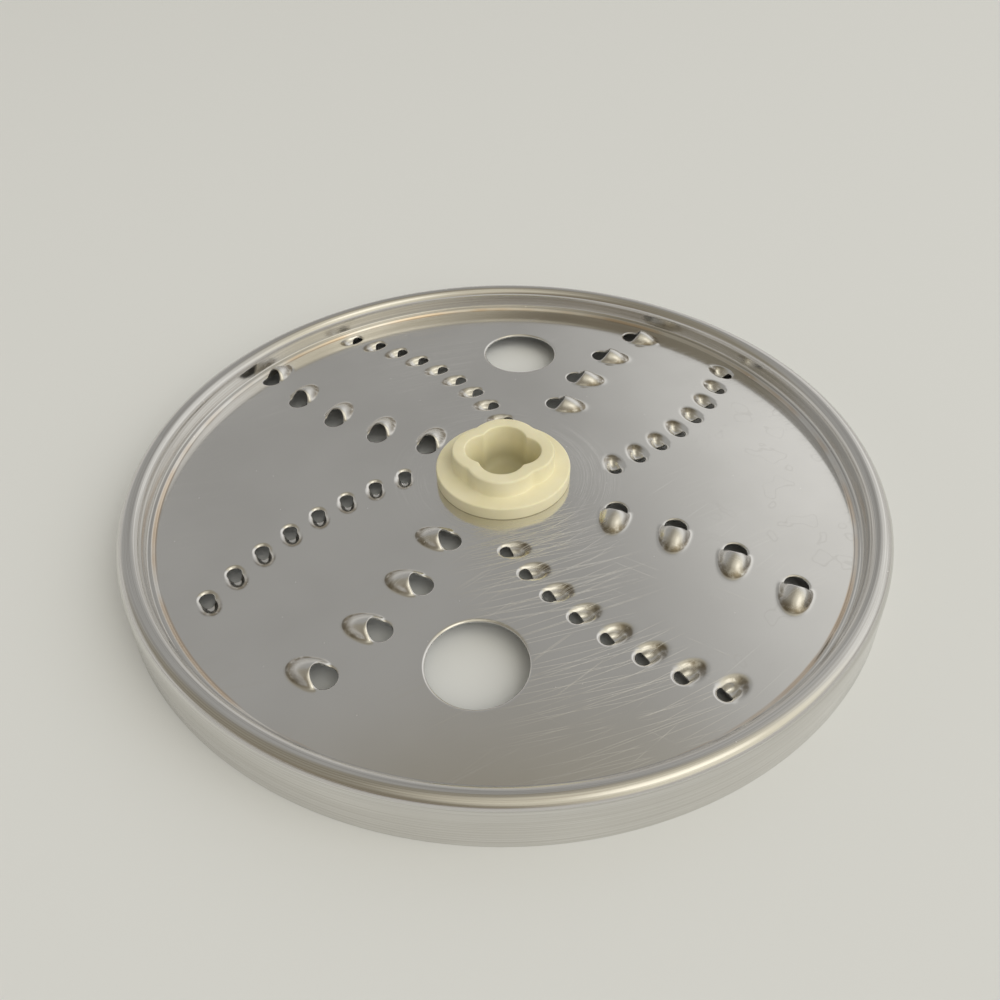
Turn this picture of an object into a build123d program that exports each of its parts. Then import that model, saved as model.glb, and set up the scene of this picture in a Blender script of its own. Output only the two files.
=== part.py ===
from build123d import *
from math import acos, atan2, cos, degrees, hypot, radians, sin, tan
import os

# Reversible grating disc of a food processor, in millimetres.
# Z is the drive axis, the disc stands on the hem of its skirt at Z = 0,
# and the two finger holes lie on the Y axis.

# Steel sheet and its rolled rim
sheet = 0.7
plate_height = 4.7
hem_radius = 87.5
skirt_flare = 0.9
rim_round = 2.5
rim_crest_height = 10.9
step_width = 1.6
step_rise = 0.7

# Finger holes
finger_hole_radius = 10.0
finger_hole_distance = 55.0

# Rows of teeth: each row follows an arc that passes the drive axis at an offset,
# and the teeth step outwards from row to row
rows = 4
first_tooth_radius = 22.0

# Coarse teeth: hoods raised from the upper face, each behind a round hole
coarse_count = 17
coarse_pitch = 13.8
coarse_arc_radius = 88.5
coarse_arc_offset = 7.3
coarse_arc_bearing = 92.5
coarse_lean = 8.0
coarse_hole_radius = 2.75
coarse_hole_shift = 0.4
coarse_wall = 0.65
coarse_rise = 2.3
coarse_tail = 8.1
coarse_lip_shift = 0.3
coarse_lip_angle = 50.0

# Fine teeth: smaller hoods pressed down through the lower face
fine_count = 33
fine_pitch = 6.9
fine_arc_radius = 86.0
fine_arc_offset = -6.8
fine_arc_bearing = 198.2
fine_hole_radius = 1.75
fine_hole_shift = -2.0
fine_wall = 0.5
fine_rise = 1.6
fine_tail = 5.4
fine_lip_shift = 0.3
fine_lip_angle = 50.0

# The hollow under a hood is this much narrower than its hole, on each side
hollow_inset = 0.05

# Moulded hub with a four-lobed drive socket, open above and closed below
flange_radius = 16.0
upper_flange = 3.3
lower_flange = 3.4
flange_edge = 0.5
boss_height = 7.7
boss_wall = 3.2
boss_edge = 0.6
boss_foot = 0.6
boss_notch_round = 5.0
lobe_radius = 5.2
lobe_distance = 3.75
socket_notch_round = 1.5
socket_edge = 0.3
socket_floor = 0.8
neck_clearance = 0.1

plate_top = Plane.XY.offset(plate_height)
plate_underside = Plane.XY.offset(plate_height - sheet)


def tooth(hole_radius, wall, rise, tail, lip_shift, lip_angle):
    """Hood on the face at Z = 0 of a sheet lying below, and the cut for its hole and its hollow.

    The hood is a round bar that dives into the sheet at its tail and is cut off slanting at its lip.
    """
    slope = radians(lip_angle)
    lip = Plane((lip_shift, 0, 0), x_dir=(0, 1, 0), z_dir=(sin(slope), 0, -cos(slope)))
    dive = atan2(rise, tail - lip_shift - rise / tan(slope))
    hollow_radius = hole_radius - hollow_inset
    bar_radius = hollow_radius + wall
    bar_middle = (tail - bar_radius * sin(dive), 0, -bar_radius * cos(dive))
    bar_place = Location(bar_middle, (0, 90 + degrees(dive), 0))
    bar_length = 4 * tail
    with BuildPart() as hood:
        with Locations(bar_place):
            Cylinder(bar_radius, bar_length)
        split(bisect_by=Plane.XY.offset(-sheet / 2), keep=Keep.TOP)
        split(bisect_by=lip, keep=Keep.TOP)
    with BuildPart() as hollow:
        with Locations(bar_place):
            Cylinder(hollow_radius, bar_length)
        split(bisect_by=Plane.XY.offset(-2 * sheet), keep=Keep.TOP)
        split(bisect_by=Plane.YZ, keep=Keep.TOP)
    with BuildPart() as cut:
        Cylinder(hole_radius, 2 * sheet, align=(Align.CENTER, Align.CENTER, Align.MAX))
        split(bisect_by=Plane.YZ, keep=Keep.BOTTOM)
        add(hollow.part)
    return hood.part, cut.part


def row_places(count, pitch, arc_radius, arc_offset, arc_bearing, side):
    """Radius and bearing of each tooth, where its circle crosses the arc of its row."""
    arc_distance = arc_radius + arc_offset
    places = []
    for number in range(count):
        radius = first_tooth_radius + number * pitch / rows
        reach = (radius**2 + arc_distance**2 - arc_radius**2) / (2 * radius * arc_distance)
        bearing = arc_bearing + side * degrees(acos(reach)) + number * 360 / rows
        places.append((radius, bearing))
    return places


def quatrefoil(grow, notch_round):
    """Four round lobes on the X and Y axes, with the notches between them rounded."""
    with BuildSketch() as lobes:
        Rectangle(2 * lobe_distance, 2 * lobe_distance)
        with PolarLocations(lobe_distance, 4):
            Circle(lobe_radius + grow)
        fillet(lobes.vertices(), notch_round)
    return lobes.sketch


# Where the teeth stand, each turned along its own cut
coarse_places = [
    Location((radius * cos(radians(bearing)), radius * sin(radians(bearing)), plate_height))
    * Location((0, 0, 0), (0, 0, bearing - 90 + coarse_lean))
    * Location((coarse_hole_shift, 0, 0))
    for radius, bearing in row_places(
        coarse_count, coarse_pitch, coarse_arc_radius, coarse_arc_offset, coarse_arc_bearing, 1
    )
]
fine_places = [
    Location((radius * cos(radians(bearing)), radius * sin(radians(bearing)), plate_height - sheet))
    * Location((0, 0, 0), (0, 0, bearing + 90))
    * Location((fine_hole_shift, 0, 0), (180, 0, 0))
    for radius, bearing in row_places(
        fine_count, fine_pitch, fine_arc_radius, fine_arc_offset, fine_arc_bearing, -1
    )
]

coarse_hood, coarse_cut = tooth(
    coarse_hole_radius, coarse_wall, coarse_rise, coarse_tail, coarse_lip_shift, coarse_lip_angle
)
fine_hood, fine_cut = tooth(fine_hole_radius, fine_wall, fine_rise, fine_tail, fine_lip_shift, fine_lip_angle)

# The skirt leaves the rounded rim in line with the hem
rim_middle_radius = hem_radius - skirt_flare - rim_round
rim_middle_height = rim_crest_height - rim_round
wall_radius = rim_middle_radius - rim_round
step_radius = wall_radius - step_width
hem_bearing = atan2(-rim_middle_height, hem_radius - rim_middle_radius)
hem_distance = hypot(hem_radius - rim_middle_radius, rim_middle_height)
skirt_start = hem_bearing + acos(rim_round / hem_distance)


def half_section(depth):
    """Half section of the space under the disc, up to a surface that lies a depth inside its outer face."""
    corner = depth * tan(radians(22.5))
    skirt_top = Vector(rim_middle_radius, rim_middle_height) + Vector(cos(skirt_start), sin(skirt_start)) * (
        rim_round - depth
    )
    skirt_foot = Vector(skirt_top.X + skirt_top.Y * tan(skirt_start), 0)
    with BuildSketch(Plane.XZ) as section:
        with BuildLine():
            Polyline(
                (0, plate_height - depth),
                (step_radius + corner, plate_height - depth),
                (step_radius + step_rise + corner, plate_height + step_rise - depth),
                (wall_radius + depth, plate_height + step_rise - depth),
                (wall_radius + depth, rim_middle_height),
            )
            CenterArc(
                (rim_middle_radius, rim_middle_height), rim_round - depth, 180, degrees(skirt_start) - 180
            )
            Polyline(skirt_top, skirt_foot, (0, 0), (0, plate_height - depth))
        make_face()
    return section.sketch


with BuildPart() as grating_disc:
    with BuildSketch(Plane.XZ):
        add(half_section(0))
        add(half_section(sheet), mode=Mode.SUBTRACT)
    revolve(axis=Axis.Z)
    with BuildSketch(plate_top):
        add(quatrefoil(boss_wall + neck_clearance, boss_notch_round))
        with PolarLocations(finger_hole_distance, 2, 90):
            Circle(finger_hole_radius)
    extrude(amount=-sheet, mode=Mode.SUBTRACT)
    with Locations(*coarse_places):
        add(coarse_hood)
    with Locations(*fine_places):
        add(fine_hood)
    with Locations(*coarse_places):
        add(coarse_cut, mode=Mode.SUBTRACT)
    with Locations(*fine_places):
        add(fine_cut, mode=Mode.SUBTRACT)

with BuildPart() as drive_hub:
    with BuildSketch(plate_underside):
        Circle(flange_radius)
    extrude(amount=-lower_flange)
    chamfer(drive_hub.edges().group_by(Axis.Z)[0], flange_edge)
    with BuildSketch(plate_underside):
        add(quatrefoil(boss_wall, boss_notch_round))
    extrude(amount=sheet)
    with BuildSketch(plate_top):
        Circle(flange_radius)
    extrude(amount=upper_flange)
    chamfer(drive_hub.edges().group_by(Axis.Z)[-1], flange_edge)
    with BuildSketch(plate_top.offset(upper_flange)):
        add(quatrefoil(boss_wall, boss_notch_round))
    extrude(amount=boss_height - upper_flange)
    chamfer(drive_hub.edges(Select.LAST).group_by(Axis.Z)[0], boss_foot)
    chamfer(drive_hub.edges().group_by(Axis.Z)[-1], boss_edge)
    with BuildSketch(plate_top.offset(boss_height)):
        add(quatrefoil(0, socket_notch_round))
    extrude(amount=socket_floor - lower_flange - sheet - boss_height, mode=Mode.SUBTRACT)
    chamfer(drive_hub.edges(Select.LAST).group_by(Axis.Z)[-1], socket_edge)

os.makedirs("parts", exist_ok=True)
grating_disc.part.label = "grating_disc"
drive_hub.part.label = "drive_hub"
export_step(grating_disc.part, "parts/grating_disc.step")
export_step(drive_hub.part, "parts/drive_hub.step")
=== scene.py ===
from math import acos, atan2, cos, hypot, pi, radians, sin, tan

import bpy
import numpy as np
from mathutils import Matrix, geometry


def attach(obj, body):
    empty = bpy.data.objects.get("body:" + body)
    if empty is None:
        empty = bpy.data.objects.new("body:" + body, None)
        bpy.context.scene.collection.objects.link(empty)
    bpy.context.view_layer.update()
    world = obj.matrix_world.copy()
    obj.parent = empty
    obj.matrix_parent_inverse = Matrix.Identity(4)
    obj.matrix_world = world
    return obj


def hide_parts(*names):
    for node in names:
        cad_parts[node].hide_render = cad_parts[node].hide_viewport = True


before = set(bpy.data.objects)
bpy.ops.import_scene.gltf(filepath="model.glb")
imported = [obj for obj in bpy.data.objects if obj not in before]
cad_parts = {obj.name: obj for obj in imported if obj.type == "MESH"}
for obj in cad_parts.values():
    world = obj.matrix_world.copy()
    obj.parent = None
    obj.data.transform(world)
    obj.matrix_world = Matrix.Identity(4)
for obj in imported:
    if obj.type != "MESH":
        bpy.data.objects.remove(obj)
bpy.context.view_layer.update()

# One millimetre in Blender's metres
mm = 0.001

# Steel sheet and its rolled rim, in millimetres as in the part's source
sheet = 0.7
plate_height = 4.7
hem_radius = 87.5
skirt_flare = 0.9
rim_round = 2.5
rim_crest_height = 10.9
step_width = 1.6
step_rise = 0.7
step_slope = 45.0
rim_middle_radius = hem_radius - skirt_flare - rim_round
rim_middle_height = rim_crest_height - rim_round
wall_radius = rim_middle_radius - rim_round
step_radius = wall_radius - step_width

# Rounds where the sheet is bent, on its upper face, and the radius where the flat plate ends
step_foot_round = 0.5
step_edge_round = 0.85
wall_foot_round = 0.5
hem_outer_round = 0.15
hem_inner_round = 0.1
edge_break = 0.07
plate_reach = 79.6

# How finely the surfaces are divided: points round an edge, and rows from it to the flat plate
rim_segments = 240
bead_steps = 22
round_steps = 6
coarse_points = 56
coarse_rows = 13
fine_points = 52
fine_rows = 17
finger_hole_points = 120
finger_hole_rows = 9
hub_hole_points = 96
hub_hole_rows = 3
hub_segments = 192
socket_floor_steps = 8
row_crowding = 1.5
halvings = 26
weld_reach = 0.002

# Finger holes
finger_hole_radius = 10.0
finger_hole_distance = 55.0
finger_hole_roll = (0.6, 0.32)
finger_hole_foot = 10.8

# Rows of teeth: each row follows an arc that passes the drive axis at an offset
rows = 4
first_tooth_radius = 22.0
crowding_radius = 77.0
crowding_gap = 0.15

# Coarse teeth: hoods raised from the upper face
coarse_count = 17
coarse_pitch = 13.8
coarse_arc_radius = 88.5
coarse_arc_offset = 7.3
coarse_arc_bearing = 92.5
coarse_heading = -82.0
coarse_shift = 0.4
coarse_hole_radius = 2.45
coarse_hole_middle = -0.2
coarse_bar_radius = 3.35
coarse_rise = 2.35
coarse_lip = 2.25
coarse_tail = 7.7
coarse_dive_power = 1.75
coarse_taper = 0.2
coarse_melt = 0.7
coarse_front = (-0.1, 2.4)
coarse_roll = (0.5, 0.15)
coarse_lip_sheet = 0.6
coarse_foot = (3.5, 10.2, 4.6)
coarse_tailward = (0.5, 5.5)

# Fine teeth: dents pressed down through the lower face
fine_count = 33
fine_pitch = 6.9
fine_arc_radius = 86.0
fine_arc_offset = -6.8
fine_arc_bearing = 198.2
fine_heading = 90.0
fine_shift = -2.0
fine_hole_radius = 1.5
fine_hole_back = 1.4
fine_half_width = 2.95
fine_crease = 1.42
fine_shoulder_drop = 0.62
fine_depth = 1.7
fine_bowl_start = 1.6
fine_bowl_reach = 4.6
fine_front = (-0.6, 1.1)
fine_roll = (0.8, 0.45)
fine_tailward = (1.5, 4.5)
fine_lip_sheet = 0.5
fine_foot = (2.6, 6.9, 3.3)

# Moulded hub
flange_radius = 16.0
upper_flange = 3.3
lower_flange = 3.4
flange_round = 0.4
seam_round = 0.06
boss_height = 7.7
boss_wall = 3.2
boss_round = 0.55
boss_foot_round = 0.25
boss_notch = 0.12
lobe_radius = 5.2
lobe_distance = 3.75
socket_round = 0.35
socket_notch = 0.15
socket_floor = 0.8
socket_floor_round = 2.2
neck_clearance = 0.1
hub_hole_cover = 1.0
pole_radius = 0.01

# Camera, from the photograph: angles in degrees, distances in millimetres
camera_bearing = 5.53
camera_elevation = 40.47
camera_distance = 186.84
camera_pan = -0.26
camera_tilt = 1.92
camera_roll = 0.64
camera_lens = 27.89
camera_sensor = 36.0
camera_nearest = 5.0

# Most worn place on the plate
worn_x = 28.0
worn_y = -30.0

# Floor, in metres
floor_radius = 2.5
floor_sides = 96


def ease(x, low, high):
    """Nil below low, one above high, and a smooth S between them."""
    share = np.clip((x - low) / (high - low), 0, 1)
    return share * share * (3 - 2 * share)


def smooth_least(a, b, reach):
    """The lesser of two values, rounded where they differ by less than the reach."""
    return np.minimum(a, b) - np.maximum(reach - np.abs(a - b), 0) ** 2 / (4 * reach)


def row_places(count, pitch, arc_radius, arc_offset, arc_bearing, side):
    """Radius and bearing of each tooth, where its circle crosses the arc of its row."""
    number = np.arange(count)
    radius = first_tooth_radius + number * pitch / rows
    arc_distance = arc_radius + arc_offset
    reach = (radius**2 + arc_distance**2 - arc_radius**2) / (2 * radius * arc_distance)
    bearing = np.radians(arc_bearing + number * 360 / rows) + side * np.arccos(reach)
    return radius, bearing


def rolled(distance, width, drop):
    """Drop of a rolled edge: nil a width away from it, and growing as a square towards it."""
    return drop * np.clip(1 - distance / width, 0, 1) ** 2


def coarse_height(u, v):
    """Height of a raised hood over the plate.

    A bar that thins a little dives towards the tail. Its distance and the plate's are joined by
    a rounded least value, and the height where that is nil is found by halving an interval. In
    front the sheet leaves the plate along an S, from beside the hole up to the lip.
    """
    along = (u - coarse_lip) / (coarse_tail - coarse_lip)
    dive = np.where(along > 0, np.abs(along) ** coarse_dive_power, along / 2)
    top = coarse_rise * (1 - dive)
    radius = coarse_bar_radius * (1 - coarse_taper * np.clip(along, 0, 1))
    low = np.zeros_like(u)
    high = np.full_like(u, 2 * coarse_rise)
    for _ in range(halvings):
        z = (low + high) / 2
        bar = np.hypot(v, z - top + radius) - radius
        solid = smooth_least(bar, z, coarse_melt) < 0
        low = np.where(solid, z, low)
        high = np.where(solid, high, z)
    lifted = ease(u, *coarse_front)
    from_hole = np.hypot(u - coarse_hole_middle, v) - coarse_hole_radius
    return low * lifted - rolled(from_hole, *coarse_roll) * (1 - lifted)


def fine_height(u, v):
    """Height of the sheet in a sunken tooth, which is negative.

    Across the dent a shoulder bends down as a square as far as a crease, and inside the crease a
    trough goes deeper as a cube. Along it the section stays the same as far as the bowl of the
    tail, where it closes in as an ellipse.
    """
    past_start = np.maximum(u - fine_bowl_start, 0)
    out = fine_half_width * np.hypot(v / fine_half_width, past_start / fine_bowl_reach)
    shoulder = rolled(out - fine_crease, fine_half_width - fine_crease, fine_shoulder_drop)
    trough = (fine_depth - fine_shoulder_drop) * np.maximum(1 - (out / fine_crease) ** 3, 0)
    sunk = ease(u, *fine_front)
    hole_reach = np.where(u > 0, fine_hole_back, fine_hole_radius)
    from_hole = (np.hypot(u / hole_reach, v / fine_hole_radius) - 1) * fine_hole_radius
    return -(shoulder + trough) * sunk - rolled(from_hole, *fine_roll) * (1 - sunk)


def finger_hole_height(u, v):
    """Level sheet with its edge rolled over."""
    return -rolled(np.hypot(u, v) - finger_hole_radius, *finger_hole_roll)


def flat_height(u, v):
    """Level sheet."""
    return np.zeros_like(u)


def opening(edge, outline, height, thin, rows_out, tailward=None):
    """Sheet from an outline in the flat plate to the edge of a hole, round its cut and back below.

    Each point of the edge is joined to its point of the outline, the rows crowd towards the edge,
    and every row lies on the height surface. The underside is every other row of the same grid,
    moved in along the surface's normal by the sheet's thickness, which thins towards the edge. A
    fourth value of each point grows from nil to one along a tooth, towards its tail, and stays nil
    where there is none.
    """
    share = np.linspace(1, 0, rows_out)[:, None, None] ** row_crowding
    away = outline - edge
    away = away / np.linalg.norm(away, axis=-1, keepdims=True)
    start = edge + edge_break * away
    plan = np.concatenate([start + share * (outline - start), edge[None]])
    u, v = plan[..., 0], plan[..., 1]
    nudge = 0.01
    slope_u = (height(u + nudge, v) - height(u - nudge, v)) / (2 * nudge)
    slope_v = (height(u, v + nudge) - height(u, v - nudge)) / (2 * nudge)
    normal = np.stack([-slope_u, -slope_v, np.ones_like(u)], -1)
    normal = normal / np.linalg.norm(normal, axis=-1, keepdims=True)
    face = np.stack([u, v, height(u, v)], -1)
    depth = np.concatenate([thin + (sheet - thin) * share, [[[thin]]]])
    below = face - depth * normal
    cut_top = face[-1] - edge_break * normal[-1]
    cut_bottom = below[-1] + edge_break * normal[-1]
    grid = np.concatenate([face[:-1], cut_top[None], cut_bottom[None], below[-2::-2]])
    along = np.concatenate([u, u[-1:], u[-2::-2]])
    tail = ease(along, *tailward) if tailward else np.zeros_like(along)
    return np.concatenate([grid, tail[..., None]], -1)


def egg(front, back, side, middle, points):
    """Outline of two half ellipses with a common width, in front and behind."""
    angle = np.linspace(0, 2 * pi, points, endpoint=False)
    reach = np.where(np.cos(angle) > 0, back, front)
    return np.stack([middle + reach * np.cos(angle), side * np.sin(angle)], -1)


def circle(radius, middle, points):
    """Egg whose front, back and sides have the same reach."""
    return egg(radius, radius, radius, middle, points)


def set_in_rows(grid, places, heading_turn, shift):
    """Copies of an opening, each turned along its cut and crowded inwards where there is no room.

    Past the crowding radius the distance from the axis grows as a hyperbolic tangent, short of the step.
    """
    radius, bearing = places
    heading = bearing + radians(heading_turn)
    x = radius * np.cos(bearing) + shift * np.cos(heading)
    y = radius * np.sin(bearing) + shift * np.sin(heading)
    c, s = np.cos(heading)[:, None, None], np.sin(heading)[:, None, None]
    px = x[:, None, None] + c * grid[..., 0] - s * grid[..., 1]
    py = y[:, None, None] + s * grid[..., 0] + c * grid[..., 1]
    reach = np.hypot(px, py)
    room = plate_reach - crowding_gap - crowding_radius
    past = np.maximum(reach - crowding_radius, 0)
    crowded = np.where(past > 0, crowding_radius + room * np.tanh(past / room), reach)
    pz = np.broadcast_to(grid[..., 2] + plate_height, px.shape)
    tailward = np.broadcast_to(grid[..., 3], px.shape)
    return np.stack([px * crowded / reach, py * crowded / reach, pz, tailward], -1)


def lobed_outline(angle, distance, radius, notch):
    """Distance from the axis of four round lobes: the farther of two, with a rounded notch between."""
    fold = np.abs((angle + pi / 4) % (pi / 2) - pi / 4)

    def lobe(off_axis):
        """Reach of one lobe, at an angle off its own axis."""
        return distance * np.cos(off_axis) + np.sqrt(radius**2 - (distance * np.sin(off_axis)) ** 2)

    near, far = lobe(fold), lobe(pi / 2 - fold)
    return (near + far) / 2 + np.sqrt(((near - far) / 2) ** 2 + notch**2)


def rounded(corners):
    """Path through corners (r, z, round), each replaced by an arc that touches both of its sides."""
    path = [np.array(corners[0][:2])[None]]
    for before, here, after in zip(corners, corners[1:], corners[2:]):
        corner = np.array(here[:2])
        back = np.array(before[:2]) - corner
        ahead = np.array(after[:2]) - corner
        back, ahead = back / np.linalg.norm(back), ahead / np.linalg.norm(ahead)
        half = acos(np.clip(back @ ahead, -1, 1)) / 2
        middle = corner + (back + ahead) / np.linalg.norm(back + ahead) * here[2] / sin(half)
        first = corner + back * here[2] / tan(half) - middle
        last = corner + ahead * here[2] / tan(half) - middle
        sweep = pi - 2 * half
        share = np.linspace(0, 1, round_steps)[:, None]
        turned = np.sin((1 - share) * sweep) * first + np.sin(share * sweep) * last
        path.append(middle + turned / sin(sweep))
    path.append(np.array(corners[-1][:2])[None])
    return np.concatenate(path)


def grid_faces(count_rows, count_columns, first, flip):
    """Quads of a grid whose columns close into a ring."""
    row, column = np.mgrid[0:count_rows - 1, 0:count_columns]
    following = (column + 1) % count_columns
    a = first + row * count_columns + column
    b = first + (row + 1) * count_columns + column
    c = first + (row + 1) * count_columns + following
    d = first + row * count_columns + following
    ring = [a, d, c, b] if flip else [a, b, c, d]
    return np.stack(ring, -1).reshape(-1, 4)


def new_piece(name, points, faces, material):
    """Smooth mesh from points in millimetres, with points that coincide made one."""
    mesh = bpy.data.meshes.new(name)
    mesh.from_pydata((points * mm).tolist(), [], faces)
    piece = bpy.data.objects.new(name, mesh)
    bpy.context.collection.objects.link(piece)
    weld = piece.modifiers.new("weld", "WELD")
    weld.merge_threshold = weld_reach * mm
    mesh.shade_smooth()
    mesh.materials.append(material)
    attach(piece, "root")
    return piece


def rim_side(depth):
    """Path a depth inside the outer face, over the step and the bead, and the radius of its foot.

    The skirt leaves the bead along the line from the hem that touches it.
    """
    hem_bearing = atan2(-rim_middle_height, hem_radius - rim_middle_radius)
    hem_distance = hypot(hem_radius - rim_middle_radius, rim_middle_height)
    skirt_start = hem_bearing + acos(rim_round / hem_distance)
    corner = depth * tan(radians(step_slope / 2))
    top = plate_height - depth
    inward = rounded([
        (plate_reach, top, 0),
        (step_radius + corner, top, step_foot_round + depth),
        (step_radius + step_rise + corner, top + step_rise, step_edge_round - depth),
        (wall_radius + depth, top + step_rise, wall_foot_round + depth),
        (wall_radius + depth, rim_middle_height, 0),
    ])
    angle = np.linspace(pi, skirt_start, bead_steps)
    bead = np.stack([
        rim_middle_radius + (rim_round - depth) * np.cos(angle),
        rim_middle_height + (rim_round - depth) * np.sin(angle),
    ], -1)
    foot = bead[-1, 0] + bead[-1, 1] * tan(skirt_start)
    return np.concatenate([inward[:-1], bead]), foot


def rim_section():
    """Path of the rim's wall: over the step, the bead and the skirt, round the hem and back inside."""
    outer, outer_foot = rim_side(0)
    inner, inner_foot = rim_side(sheet)
    hem = rounded([
        (*outer[-1], 0),
        (outer_foot, 0, hem_outer_round),
        (inner_foot, 0, hem_inner_round),
        (*inner[-1], 0),
    ])
    return np.concatenate([outer, hem[1:-1], inner[::-2]])


def openings_in_place():
    """Grids of every opening in the plate: both kinds of teeth, the finger holes and the hub's hole."""
    coarse_edge = circle(coarse_hole_radius, coarse_hole_middle, coarse_points)
    coarse_outline = egg(*coarse_foot, coarse_hole_middle, coarse_points)
    coarse = opening(
        coarse_edge, coarse_outline, coarse_height, coarse_lip_sheet, coarse_rows, coarse_tailward
    )
    coarse_places = row_places(
        coarse_count, coarse_pitch, coarse_arc_radius, coarse_arc_offset, coarse_arc_bearing, 1
    )
    fine_edge = egg(fine_hole_radius, fine_hole_back, fine_hole_radius, 0, fine_points)
    fine_outline = egg(*fine_foot, 0, fine_points)
    fine = opening(fine_edge, fine_outline, fine_height, fine_lip_sheet, fine_rows, fine_tailward)
    fine_places = row_places(
        fine_count, fine_pitch, fine_arc_radius, fine_arc_offset, fine_arc_bearing, -1
    )
    hole_edge = circle(finger_hole_radius, 0, finger_hole_points)
    hole_outline = circle(finger_hole_foot, 0, finger_hole_points)
    hole = opening(hole_edge, hole_outline, finger_hole_height, sheet, finger_hole_rows)
    hole_places = np.full(2, finger_hole_distance), np.radians([90, 270])
    angle = np.linspace(0, 2 * pi, hub_hole_points, endpoint=False)
    neck = lobed_outline(angle, lobe_distance, lobe_radius + boss_wall + neck_clearance, boss_notch)
    hub_edge = neck[:, None] * circle(1, 0, hub_hole_points)
    hub_outline = circle(flange_radius - hub_hole_cover, 0, hub_hole_points)
    hub_hole = opening(hub_edge, hub_outline, flat_height, sheet, hub_hole_rows)
    return [
        *set_in_rows(coarse, coarse_places, coarse_heading, coarse_shift),
        *set_in_rows(fine, fine_places, fine_heading, fine_shift),
        *set_in_rows(hole, hole_places, 0, 0),
        *set_in_rows(hub_hole, (np.zeros(1), np.zeros(1)), 0, 0),
    ]


def steel_points():
    """Points, faces and tailward values of the pressing: openings, rim and the flat faces between."""
    points, faces, holes, count = [], [], [], 0
    for grid in openings_in_place():
        points.append(grid.reshape(-1, 4))
        faces.append(grid_faces(grid.shape[0], grid.shape[1], count, True))
        holes.append(grid[0])
        count += grid.shape[0] * grid.shape[1]
    section = rim_section()
    turn = np.linspace(0, 2 * pi, rim_segments, endpoint=False)
    rim = np.stack([
        section[:, :1] * np.cos(turn),
        section[:, :1] * np.sin(turn),
        np.broadcast_to(section[:, 1:], (len(section), rim_segments)),
        np.zeros((len(section), rim_segments)),
    ], -1)
    points.append(rim.reshape(-1, 4))
    faces.append(grid_faces(len(section), rim_segments, count, False))
    count += len(section) * rim_segments
    flat, triangles = flat_between(rim[0], holes)
    top = np.column_stack([flat, np.full(len(flat), plate_height), np.zeros(len(flat))])
    points = np.concatenate([*points, top, top - [0, 0, sheet, 0]])
    below = triangles[:, ::-1] + len(flat)
    quads = np.concatenate(faces).tolist()
    return points[:, :3], quads + (np.concatenate([triangles, below]) + count).tolist(), points[:, 3]


def flat_between(rim, holes):
    """Flat triangles inside the rim and outside every hole's outline, with the outlines as edges."""
    loops = [rim] + holes
    flat = np.concatenate(loops)[:, :2]
    first = np.cumsum([0] + [len(loop) for loop in loops])
    edges = [
        (start + step, start + (step + 1) % (end - start))
        for start, end in zip(first, first[1:])
        for step in range(end - start)
    ]
    whole_hull, nearest = 0, 1e-6
    made = geometry.delaunay_2d_cdt(flat.tolist(), edges, [], whole_hull, nearest)
    flat = np.array([tuple(point) for point in made[0]])
    triangles = np.array(made[2])
    middle = flat[triangles].mean(1)
    keep = np.hypot(middle[:, 0], middle[:, 1]) < plate_reach
    for loop in holes:
        keep &= ~inside(loop[:, :2], middle)
    return flat, triangles[keep]


def inside(loop, points):
    """Which points lie inside a loop: a ray from them to the right crosses it an odd number of times."""
    a, b = loop, np.roll(loop, -1, 0)
    x, y = points[:, :1], points[:, 1:]
    spans = (a[:, 1] > y) != (b[:, 1] > y)
    rise = np.where(b[:, 1] == a[:, 1], 1, b[:, 1] - a[:, 1])
    crossing = a[:, 0] + (y - a[:, 1]) / rise * (b[:, 0] - a[:, 0])
    return (spans & (x < crossing)).sum(1) % 2 == 1


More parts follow.
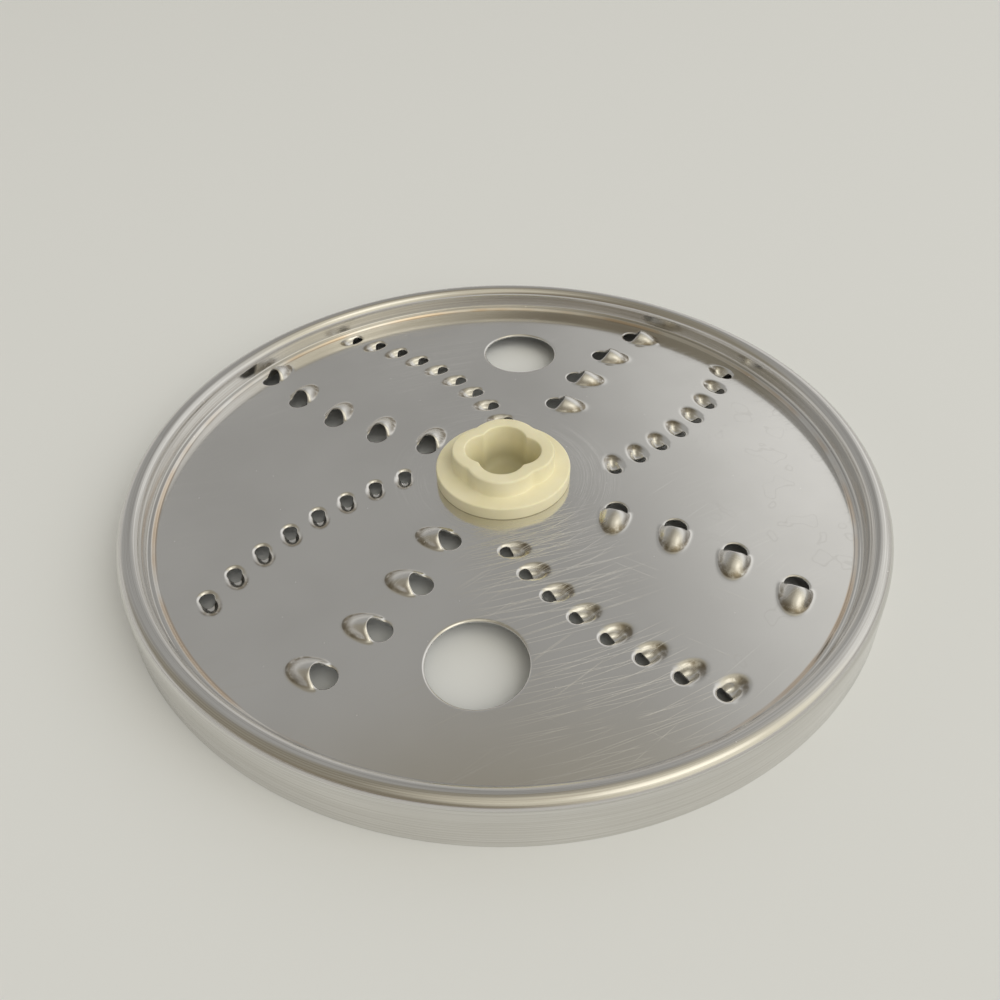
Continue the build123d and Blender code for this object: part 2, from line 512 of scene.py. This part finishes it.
def hub_points():
    """Points and faces of the moulded hub, from the middle of its underside to the socket's floor.

    Each station of the profile has a height, a radius, a lobe distance and a notch round. A lobe
    distance of nil gives a circle, and quarter arcs of stations round the edges.
    """
    under = plate_height - sheet
    bottom = under - lower_flange
    flange_top = plate_height + upper_flange
    top = plate_height + boss_height
    floor = bottom + socket_floor
    boss = lobe_radius + boss_wall

    def arc(height, radius, size, start, end, distance=0, notch=0):
        """Quarter round about a middle at a height and a radius, between two angles."""
        turn = np.radians(np.linspace(start, end, round_steps))
        return [(height + size * sin(a), radius + size * cos(a), distance, notch) for a in turn]

    stations = [(bottom, pole_radius, 0, 0), (bottom, flange_radius / 2, 0, 0)]
    stations += arc(bottom + flange_round, flange_radius - flange_round, flange_round, -90, 0)
    stations += arc(under - seam_round, flange_radius - seam_round, seam_round, 0, 90)
    stations += [(z, boss, lobe_distance, boss_notch) for z in (under, plate_height)]
    stations += arc(plate_height + seam_round, flange_radius - seam_round, seam_round, -90, 0)
    stations += arc(flange_top - flange_round, flange_radius - flange_round, flange_round, 0, 90)
    foot_height, foot_radius = flange_top + boss_foot_round, boss + boss_foot_round
    stations += arc(foot_height, foot_radius, boss_foot_round, -90, -180, lobe_distance, boss_notch)
    stations += arc(top - boss_round, boss - boss_round, boss_round, 0, 90, lobe_distance, boss_notch)
    stations += arc(
        top - socket_round, lobe_radius + socket_round, socket_round, 90, 180, lobe_distance, socket_notch
    )
    for a in np.radians(np.linspace(0, 90, socket_floor_steps)):
        share = 1 - socket_floor_round * (1 - cos(a)) / (lobe_radius + lobe_distance)
        height = floor + socket_floor_round * (1 - sin(a))
        stations.append((height, lobe_radius * share, lobe_distance * share, socket_notch * share))
    stations.append((floor, lobe_radius / 2, lobe_distance / 2, socket_notch / 2))
    stations.append((floor, pole_radius, 0, 0))
    angle = np.linspace(0, 2 * pi, hub_segments, endpoint=False)
    height, radius, distance, notch = (np.array(column)[:, None] for column in zip(*stations))
    reach = lobed_outline(angle, distance, radius, notch)
    points = np.stack([
        reach * np.cos(angle),
        reach * np.sin(angle),
        np.broadcast_to(height, reach.shape),
    ], -1)
    faces = grid_faces(len(stations), len(angle), 0, True).tolist()
    ring = np.arange(len(angle))
    last = ring + (len(stations) - 1) * len(angle)
    return points.reshape(-1, 3), faces + [ring[::-1].tolist(), last.tolist()]


class Wire:
    """A shader value. Arithmetic on it adds Math nodes to its material."""

    def __init__(self, tree, socket):
        self.tree = tree
        self.socket = socket

    def node(self, kind, settings, inputs, output=0):
        """New node of a kind, with its settings first and then its sockets' values or links."""
        made = self.tree.nodes.new(kind)
        for name, value in settings.items():
            setattr(made, name, value)
        for name, value in inputs.items():
            if isinstance(value, Wire):
                self.tree.links.new(value.socket, made.inputs[name])
            else:
                made.inputs[name].default_value = value
        return Wire(self.tree, made.outputs[output])

    def output(self, name):
        """Another output of the same node."""
        return Wire(self.tree, self.socket.node.outputs[name])

    def feed(self, shader, name):
        """Link to a socket of a shader."""
        self.tree.links.new(self.socket, shader.inputs[name])

    def math(self, operation, first, second=0.0):
        """One Math node on one or two values."""
        return self.node("ShaderNodeMath", {"operation": operation}, {0: first, 1: second})

    def __add__(self, other):
        return self.math("ADD", self, other)

    def __radd__(self, other):
        return self.math("ADD", other, self)

    def __sub__(self, other):
        return self.math("SUBTRACT", self, other)

    def __rsub__(self, other):
        return self.math("SUBTRACT", other, self)

    def __mul__(self, other):
        return self.math("MULTIPLY", self, other)

    def __rmul__(self, other):
        return self.math("MULTIPLY", other, self)

    def between(self, low, high):
        """Nil at low, one at high, and a smooth S between them."""
        return self.node(
            "ShaderNodeMapRange",
            {"interpolation_type": "SMOOTHSTEP"},
            {"Value": self, "From Min": low, "From Max": high},
        )


def new_material(name):
    """Empty material, its shader, and the place on the object in millimetres."""
    material = bpy.data.materials.new(name)
    material.use_nodes = True
    tree = material.node_tree
    shader = tree.nodes["Principled BSDF"]
    place = Wire(tree, None).node("ShaderNodeTexCoord", {}, {}, "Object")
    place = place.node("ShaderNodeVectorMath", {"operation": "SCALE"}, {0: place, "Scale": 1 / mm})
    return material, shader, place


def stretched(place, turn, size):
    """Place measured along turned axes, in steps of the given sizes."""
    return place.node(
        "ShaderNodeMapping",
        {"vector_type": "TEXTURE"},
        {"Vector": place, "Rotation": (0, 0, radians(turn)), "Scale": size},
    )


def noise(place, size, detail=2.0, roughness=0.5):
    """Cloudy value from 0 to 1, with clouds of about a size."""
    inputs = {"Vector": place, "Scale": 1 / size, "Detail": detail, "Roughness": roughness}
    return place.node("ShaderNodeTexNoise", {}, inputs)


def blend(factor, first, second):
    """Colour between two, by a factor."""
    return factor.node("ShaderNodeMix", {"data_type": "RGBA"}, {0: factor, 6: first, 7: second}, 2)


def dots(place, radius, share):
    """Round dots about the points of a flat cell pattern of unit size, for a share of its cells."""
    flat = {"voronoi_dimensions": "2D"}
    cell = place.node("ShaderNodeTexVoronoi", flat, {"Vector": place, "Scale": 1.0})
    pick = place.node("ShaderNodeSeparateXYZ", {}, {0: cell.output("Color")})
    return cell.between(radius, radius * 0.3) * pick.between(1 - share, 1.02 - share)


def scratches(place, turn, length, spacing, share):
    """Straight fine lines one way: dots on a place that is stretched along them."""
    return dots(stretched(place, turn, (length, spacing, spacing)), 0.3, share)


def turned_lines(reach, bearing, z):
    """Fine lines round the axis: a cloudy value that changes fast outwards and up, and slowly round."""
    place = reach.node("ShaderNodeCombineXYZ", {}, {0: reach * 5.0, 1: z * 5.0, 2: bearing * 1.2})
    return noise(place, 1.0, 3.0, 0.6)


def polished_rings(reach, bearing):
    """Thin rings near the hub, where a cloudy value that changes fast outwards passes its middle."""
    place = reach.node("ShaderNodeCombineXYZ", {}, {0: reach * 1.6, 1: bearing * 0.7})
    ring = reach.math("ABSOLUTE", noise(place, 1.0, 1.0) - 0.5).between(0.02, 0.0)
    return ring * reach.between(16.5, 19) * reach.between(31, 24)


def worn_scratches(place, x, y):
    """Scratches several ways, most of them about the worn place, and broken up by clouds."""
    from_wear = place.math("SQRT", (x - worn_x) * (x - worn_x) + (y - worn_y) * (y - worn_y))
    marks = (
        scratches(place, 22, 90, 0.14, 0.10)
        + scratches(place, 17, 70, 0.15, 0.08)
        + scratches(place, 27, 80, 0.16, 0.10)
        + scratches(place, 34, 40, 0.14, 0.06)
        + scratches(place, 45, 26, 0.14, 0.03)
        + scratches(place, -25, 20, 0.14, 0.02) * 0.6
    )
    return marks * (0.15 + 0.85 * from_wear.between(50, 15)) * noise(place, 9, 2.0).between(0.25, 0.5)


def worn_steel():
    """Satin stainless sheet: turned lines on the rim, scratches and specks, and painted shade at the
    teeth.

    Faint stains lie on the right of the plate, and a brown tint along the foot of the step.
    """
    light_steel = (0.78, 0.77, 0.75, 1)
    dark_steel = (0.73, 0.72, 0.70, 1)
    line_tone = (0.42, 0.40, 0.37, 1)
    scratch_tone = (0.97, 0.96, 0.94, 1)
    stain_tone = (0.40, 0.37, 0.33, 1)
    step_foot_brown = (0.62, 0.44, 0.26, 1)
    # Dark brown of the painted shade at the teeth
    painted_shade_tone = (0.19, 0.15, 0.09, 1)
    material, shader, place = new_material("worn_steel")
    x = place.node("ShaderNodeSeparateXYZ", {}, {0: place})
    y, z = x.output(1), x.output(2)
    reach = place.math("SQRT", x * x + y * y)
    bearing = place.math("ARCTAN2", y, x)
    past_step = reach - step_radius
    over_plate = z - plate_height
    on_rim = past_step.between(-0.5, 1.5)
    on_plate = 1 - on_rim
    cloud = noise(place, 28, 3.0).between(0.3, 0.7)
    turned = turned_lines(reach, bearing, z)
    marks = worn_scratches(place, x, y) + polished_rings(reach, bearing) * 0.2
    marks = place.math("MINIMUM", marks * on_plate, 1.0)
    speck = dots(stretched(place, 0, (5, 5, 5)), 0.035, 0.08)
    stain = place.math("ABSOLUTE", noise(place, 7.5, 1.5) - 0.62).between(0.012, 0.004)
    stain = stain * x.between(35, 65) * on_plate
    # Brown tint along the foot of the step, broken up by clouds
    step_foot_tint = past_step.between(-0.5, -0.1) * past_step.between(0.8, 0.3)
    step_foot_tint = step_foot_tint * noise(place, 20, 2.0).between(0.35, 0.6)
    tailward = place.node("ShaderNodeAttribute", {"attribute_name": "tailward"}, {}, "Fac")
    # Painted shade: a dark brown reflection painted at the foot of each hood and on the shoulder of each
    # dent, growing towards the tail
    hood_foot = over_plate.between(0.01, 0.15) * over_plate.between(1.5, 0.3)
    dent_edge = over_plate.between(0.0, -0.15) * over_plate.between(-0.9, -0.4)
    painted_shade = (hood_foot + dent_edge) * tailward * noise(place, 1.3, 3.0, 0.6).between(0.15, 0.6)
    pressed = over_plate.between(0.05, 0.5) + over_plate.between(-0.1, -0.5)
    pressed = place.math("MINIMUM", pressed * on_plate, 1.0)
    tone = blend(cloud, light_steel, dark_steel)
    tone = blend(turned.between(0.42, 0.62) * on_rim * 0.4, tone, line_tone)
    tone = blend(stain * 0.1, tone, stain_tone)
    tone = blend(step_foot_tint * 0.6, tone, step_foot_brown)
    tone = blend(painted_shade * 0.85, tone, painted_shade_tone)
    tone = blend(place.math("MAXIMUM", marks * 0.9, speck * 0.7), tone, scratch_tone)
    tone.feed(shader, "Base Color")
    rough = 0.10 + 0.03 * cloud + 0.12 * marks + 0.05 * on_rim
    rough = rough + 0.15 * pressed + 0.04 * stain + 0.2 * speck
    rough.feed(shader, "Roughness")
    shader.inputs["Metallic"].default_value = 1.0
    relief = turned * on_rim * 1.2 + marks * 2.0 + noise(place, 17, 1.0) * 2.0
    relief = relief + noise(place, 1.2, 3.0, 0.7) * pressed
    bump = place.node("ShaderNodeBump", {}, {"Strength": 0.25, "Distance": 0.06 * mm, "Height": relief})
    bump.feed(shader, "Normal")
    return material


def cream_plastic():
    """Matte cream moulding, a little yellowed, with painted shade where it meets the plate and down the
    walls of the socket.
    """
    pale_cream = (0.87, 0.82, 0.60, 1)
    yellow_cream = (0.82, 0.77, 0.53, 1)
    # Painted shade where the flange meets the plate
    painted_shade_tone = (0.36, 0.30, 0.18, 1)
    # Painted shade in the socket
    socket_shade_tone = (0.36, 0.34, 0.22, 1)
    socket_reach = lobe_distance + lobe_radius
    material, shader, place = new_material("cream_plastic")
    x = place.node("ShaderNodeSeparateXYZ", {}, {0: place})
    y, z = x.output(1), x.output(2)
    reach = place.math("SQRT", x * x + y * y)
    over_plate = z - plate_height
    cloud = noise(place, 8, 3.0).between(0.3, 0.7)
    grain = noise(place, 0.35, 3.0, 0.7)
    # Painted shade: a dark band painted round the flange's side at the plate, where the two meet
    painted_shade = over_plate.between(0.28, 0.04) * reach.between(flange_radius - 1.5, flange_radius - 0.5)
    # Painted shade: the socket's walls and floor painted darker downwards
    in_socket = reach.between(socket_reach + 0.45, socket_reach + 0.05)
    in_socket = in_socket * z.between(9.0, 1.5) * z.between(0.7, 1.2)
    tone = blend(cloud, yellow_cream, pale_cream)
    tone = blend(painted_shade * 0.8, tone, painted_shade_tone)
    tone = blend(in_socket * 0.65, tone, socket_shade_tone)
    tone.feed(shader, "Base Color")
    rough = 0.42 + 0.12 * cloud
    rough.feed(shader, "Roughness")
    shader.inputs["Subsurface Weight"].default_value = 0.15
    shader.inputs["Subsurface Radius"].default_value = (1.0, 0.8, 0.4)
    shader.inputs["Subsurface Scale"].default_value = mm
    bump = place.node("ShaderNodeBump", {}, {"Strength": 0.15, "Distance": 0.05 * mm, "Height": grain})
    bump.feed(shader, "Normal")
    return material


def pale_floor():
    """Round matte floor, a polygon with many sides."""
    turn = np.linspace(0, 2 * pi, floor_sides, endpoint=False)
    edge = floor_radius * np.column_stack([np.cos(turn), np.sin(turn), np.zeros(floor_sides)])
    mesh = bpy.data.meshes.new("floor")
    mesh.from_pydata(edge.tolist(), [], [list(range(floor_sides))])
    floor = bpy.data.objects.new("floor", mesh)
    bpy.context.collection.objects.link(floor)
    material = bpy.data.materials.new("pale_floor")
    material.use_nodes = True
    shader = material.node_tree.nodes["Principled BSDF"]
    shader.inputs["Base Color"].default_value = (0.78, 0.80, 0.82, 1)
    shader.inputs["Roughness"].default_value = 0.7
    mesh.materials.append(material)


def soft_lamp(name, bearing, elevation, distance, size, watts, colour):
    """Square area lamp that looks at the disc, bearing clockwise from straight behind it."""
    data = bpy.data.lights.new(name, "AREA")
    data.size = size
    data.energy = watts
    data.color = colour
    lamp = bpy.data.objects.new(name, data)
    b, e = radians(bearing), radians(elevation)
    back = np.array([sin(b) * cos(e), cos(b) * cos(e), sin(e)])
    right = np.cross([0, 0, 1], back)
    right = right / np.linalg.norm(right)
    up = np.cross(back, right)
    pose = np.eye(4)
    pose[:3, :3] = np.column_stack([right, up, back])
    pose[:3, 3] = distance * back
    lamp.matrix_world = Matrix(pose)
    lamp.visible_glossy = False
    bpy.context.collection.objects.link(lamp)


def towards(direction, axis):
    """How nearly a direction agrees with an axis: their dot product."""
    inputs = {0: direction, 1: axis}
    return direction.node("ShaderNodeVectorMath", {"operation": "DOT_PRODUCT"}, inputs, "Value")


def soft_surroundings():
    """World of soft tones by direction, each blended over those before it.

    It is dim on the left and cream on the right, then dark before the disc, cream above it and grey
    behind it, with a window behind on the right, a skylight above on the right, and a pale horizon.
    """
    left_tone = (0.30, 0.275, 0.22, 1)
    right_tone = (0.98, 0.92, 0.74, 1)
    near_tone = (0.24, 0.205, 0.15, 1)
    top_tone = (0.74, 0.69, 0.56, 1)
    far_tone = (0.38, 0.375, 0.36, 1)
    window_tone = (0.92, 0.91, 0.88, 1)
    skylight_tone = (1.5, 1.42, 1.20, 1)
    horizon_tone = (0.60, 0.585, 0.555, 1)
    top_direction = (0.30, -0.35, 0.89)
    window_direction = (0.73, 0.655, 0.21)
    skylight_direction = (0.50, -0.30, 0.81)
    world = bpy.data.worlds.new("studio")
    bpy.context.scene.world = world
    world.use_nodes = True
    direction = Wire(world.node_tree, None).node("ShaderNodeTexCoord", {}, {}, "Generated")
    rightward = direction.node("ShaderNodeSeparateXYZ", {}, {0: direction})
    onward, upward = rightward.output(1), rightward.output(2)
    before = onward.between(-0.15, -0.7) * upward.between(0.85, 0.45) * rightward.between(0.6, -0.1)
    behind = onward.between(0.05, 0.45) * upward.between(0.93, 0.80)
    sky = blend(rightward.between(-0.1, 0.8), left_tone, right_tone)
    sky = blend(before, sky, near_tone)
    sky = blend(towards(direction, top_direction).between(0.75, 0.98), sky, top_tone)
    sky = blend(behind, sky, far_tone)
    sky = blend(towards(direction, window_direction).between(0.60, 0.93), sky, window_tone)
    sky = blend(towards(direction, skylight_direction).between(0.94, 0.985), sky, skylight_tone)
    sky = blend(upward.between(0.40, 0.31), sky, horizon_tone)
    sky.feed(world.node_tree.nodes["Background"], "Color")


def turn_about(axis, angle):
    """Turn about an axis, by an angle in degrees."""
    return Matrix.Rotation(radians(angle), 3, axis)


def photo_camera():
    """Camera where the photograph was taken from, its aim turned off the hub by pan, tilt and roll."""
    data = bpy.data.cameras.new("camera")
    data.lens = camera_lens
    data.sensor_width = camera_sensor
    data.clip_start = camera_nearest * mm
    camera = bpy.data.objects.new("camera", data)
    bpy.context.collection.objects.link(camera)
    away = turn_about("Z", camera_bearing) @ turn_about("X", 90 - camera_elevation)
    aim = turn_about("Z", camera_roll) @ turn_about("Y", camera_pan) @ turn_about("X", camera_tilt)
    pose = (away @ aim.transposed()).to_4x4()
    pose.translation = away.col[2] * camera_distance * mm
    pose.translation.z += plate_height * mm
    camera.matrix_world = pose
    bpy.context.scene.camera = camera


# The two pieces
disc_points, disc_faces, disc_tailward = steel_points()
steel_disc = new_piece("pressed_steel_disc", disc_points, disc_faces, worn_steel())
steel_disc.data.attributes.new("tailward", "FLOAT", "POINT").data.foreach_set("value", disc_tailward)
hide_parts("grating_disc")
hub = new_piece("moulded_hub", *hub_points(), cream_plastic())
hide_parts("drive_hub")

# Floor, light and camera
pale_floor()
soft_lamp(
    "side_window",
    bearing=122,
    elevation=38,
    distance=4.2,
    size=6.0,
    watts=108.0,
    colour=(1.0, 0.99, 0.95),
)
soft_surroundings()
photo_camera()
bpy.context.scene.view_settings.view_transform = "Standard"
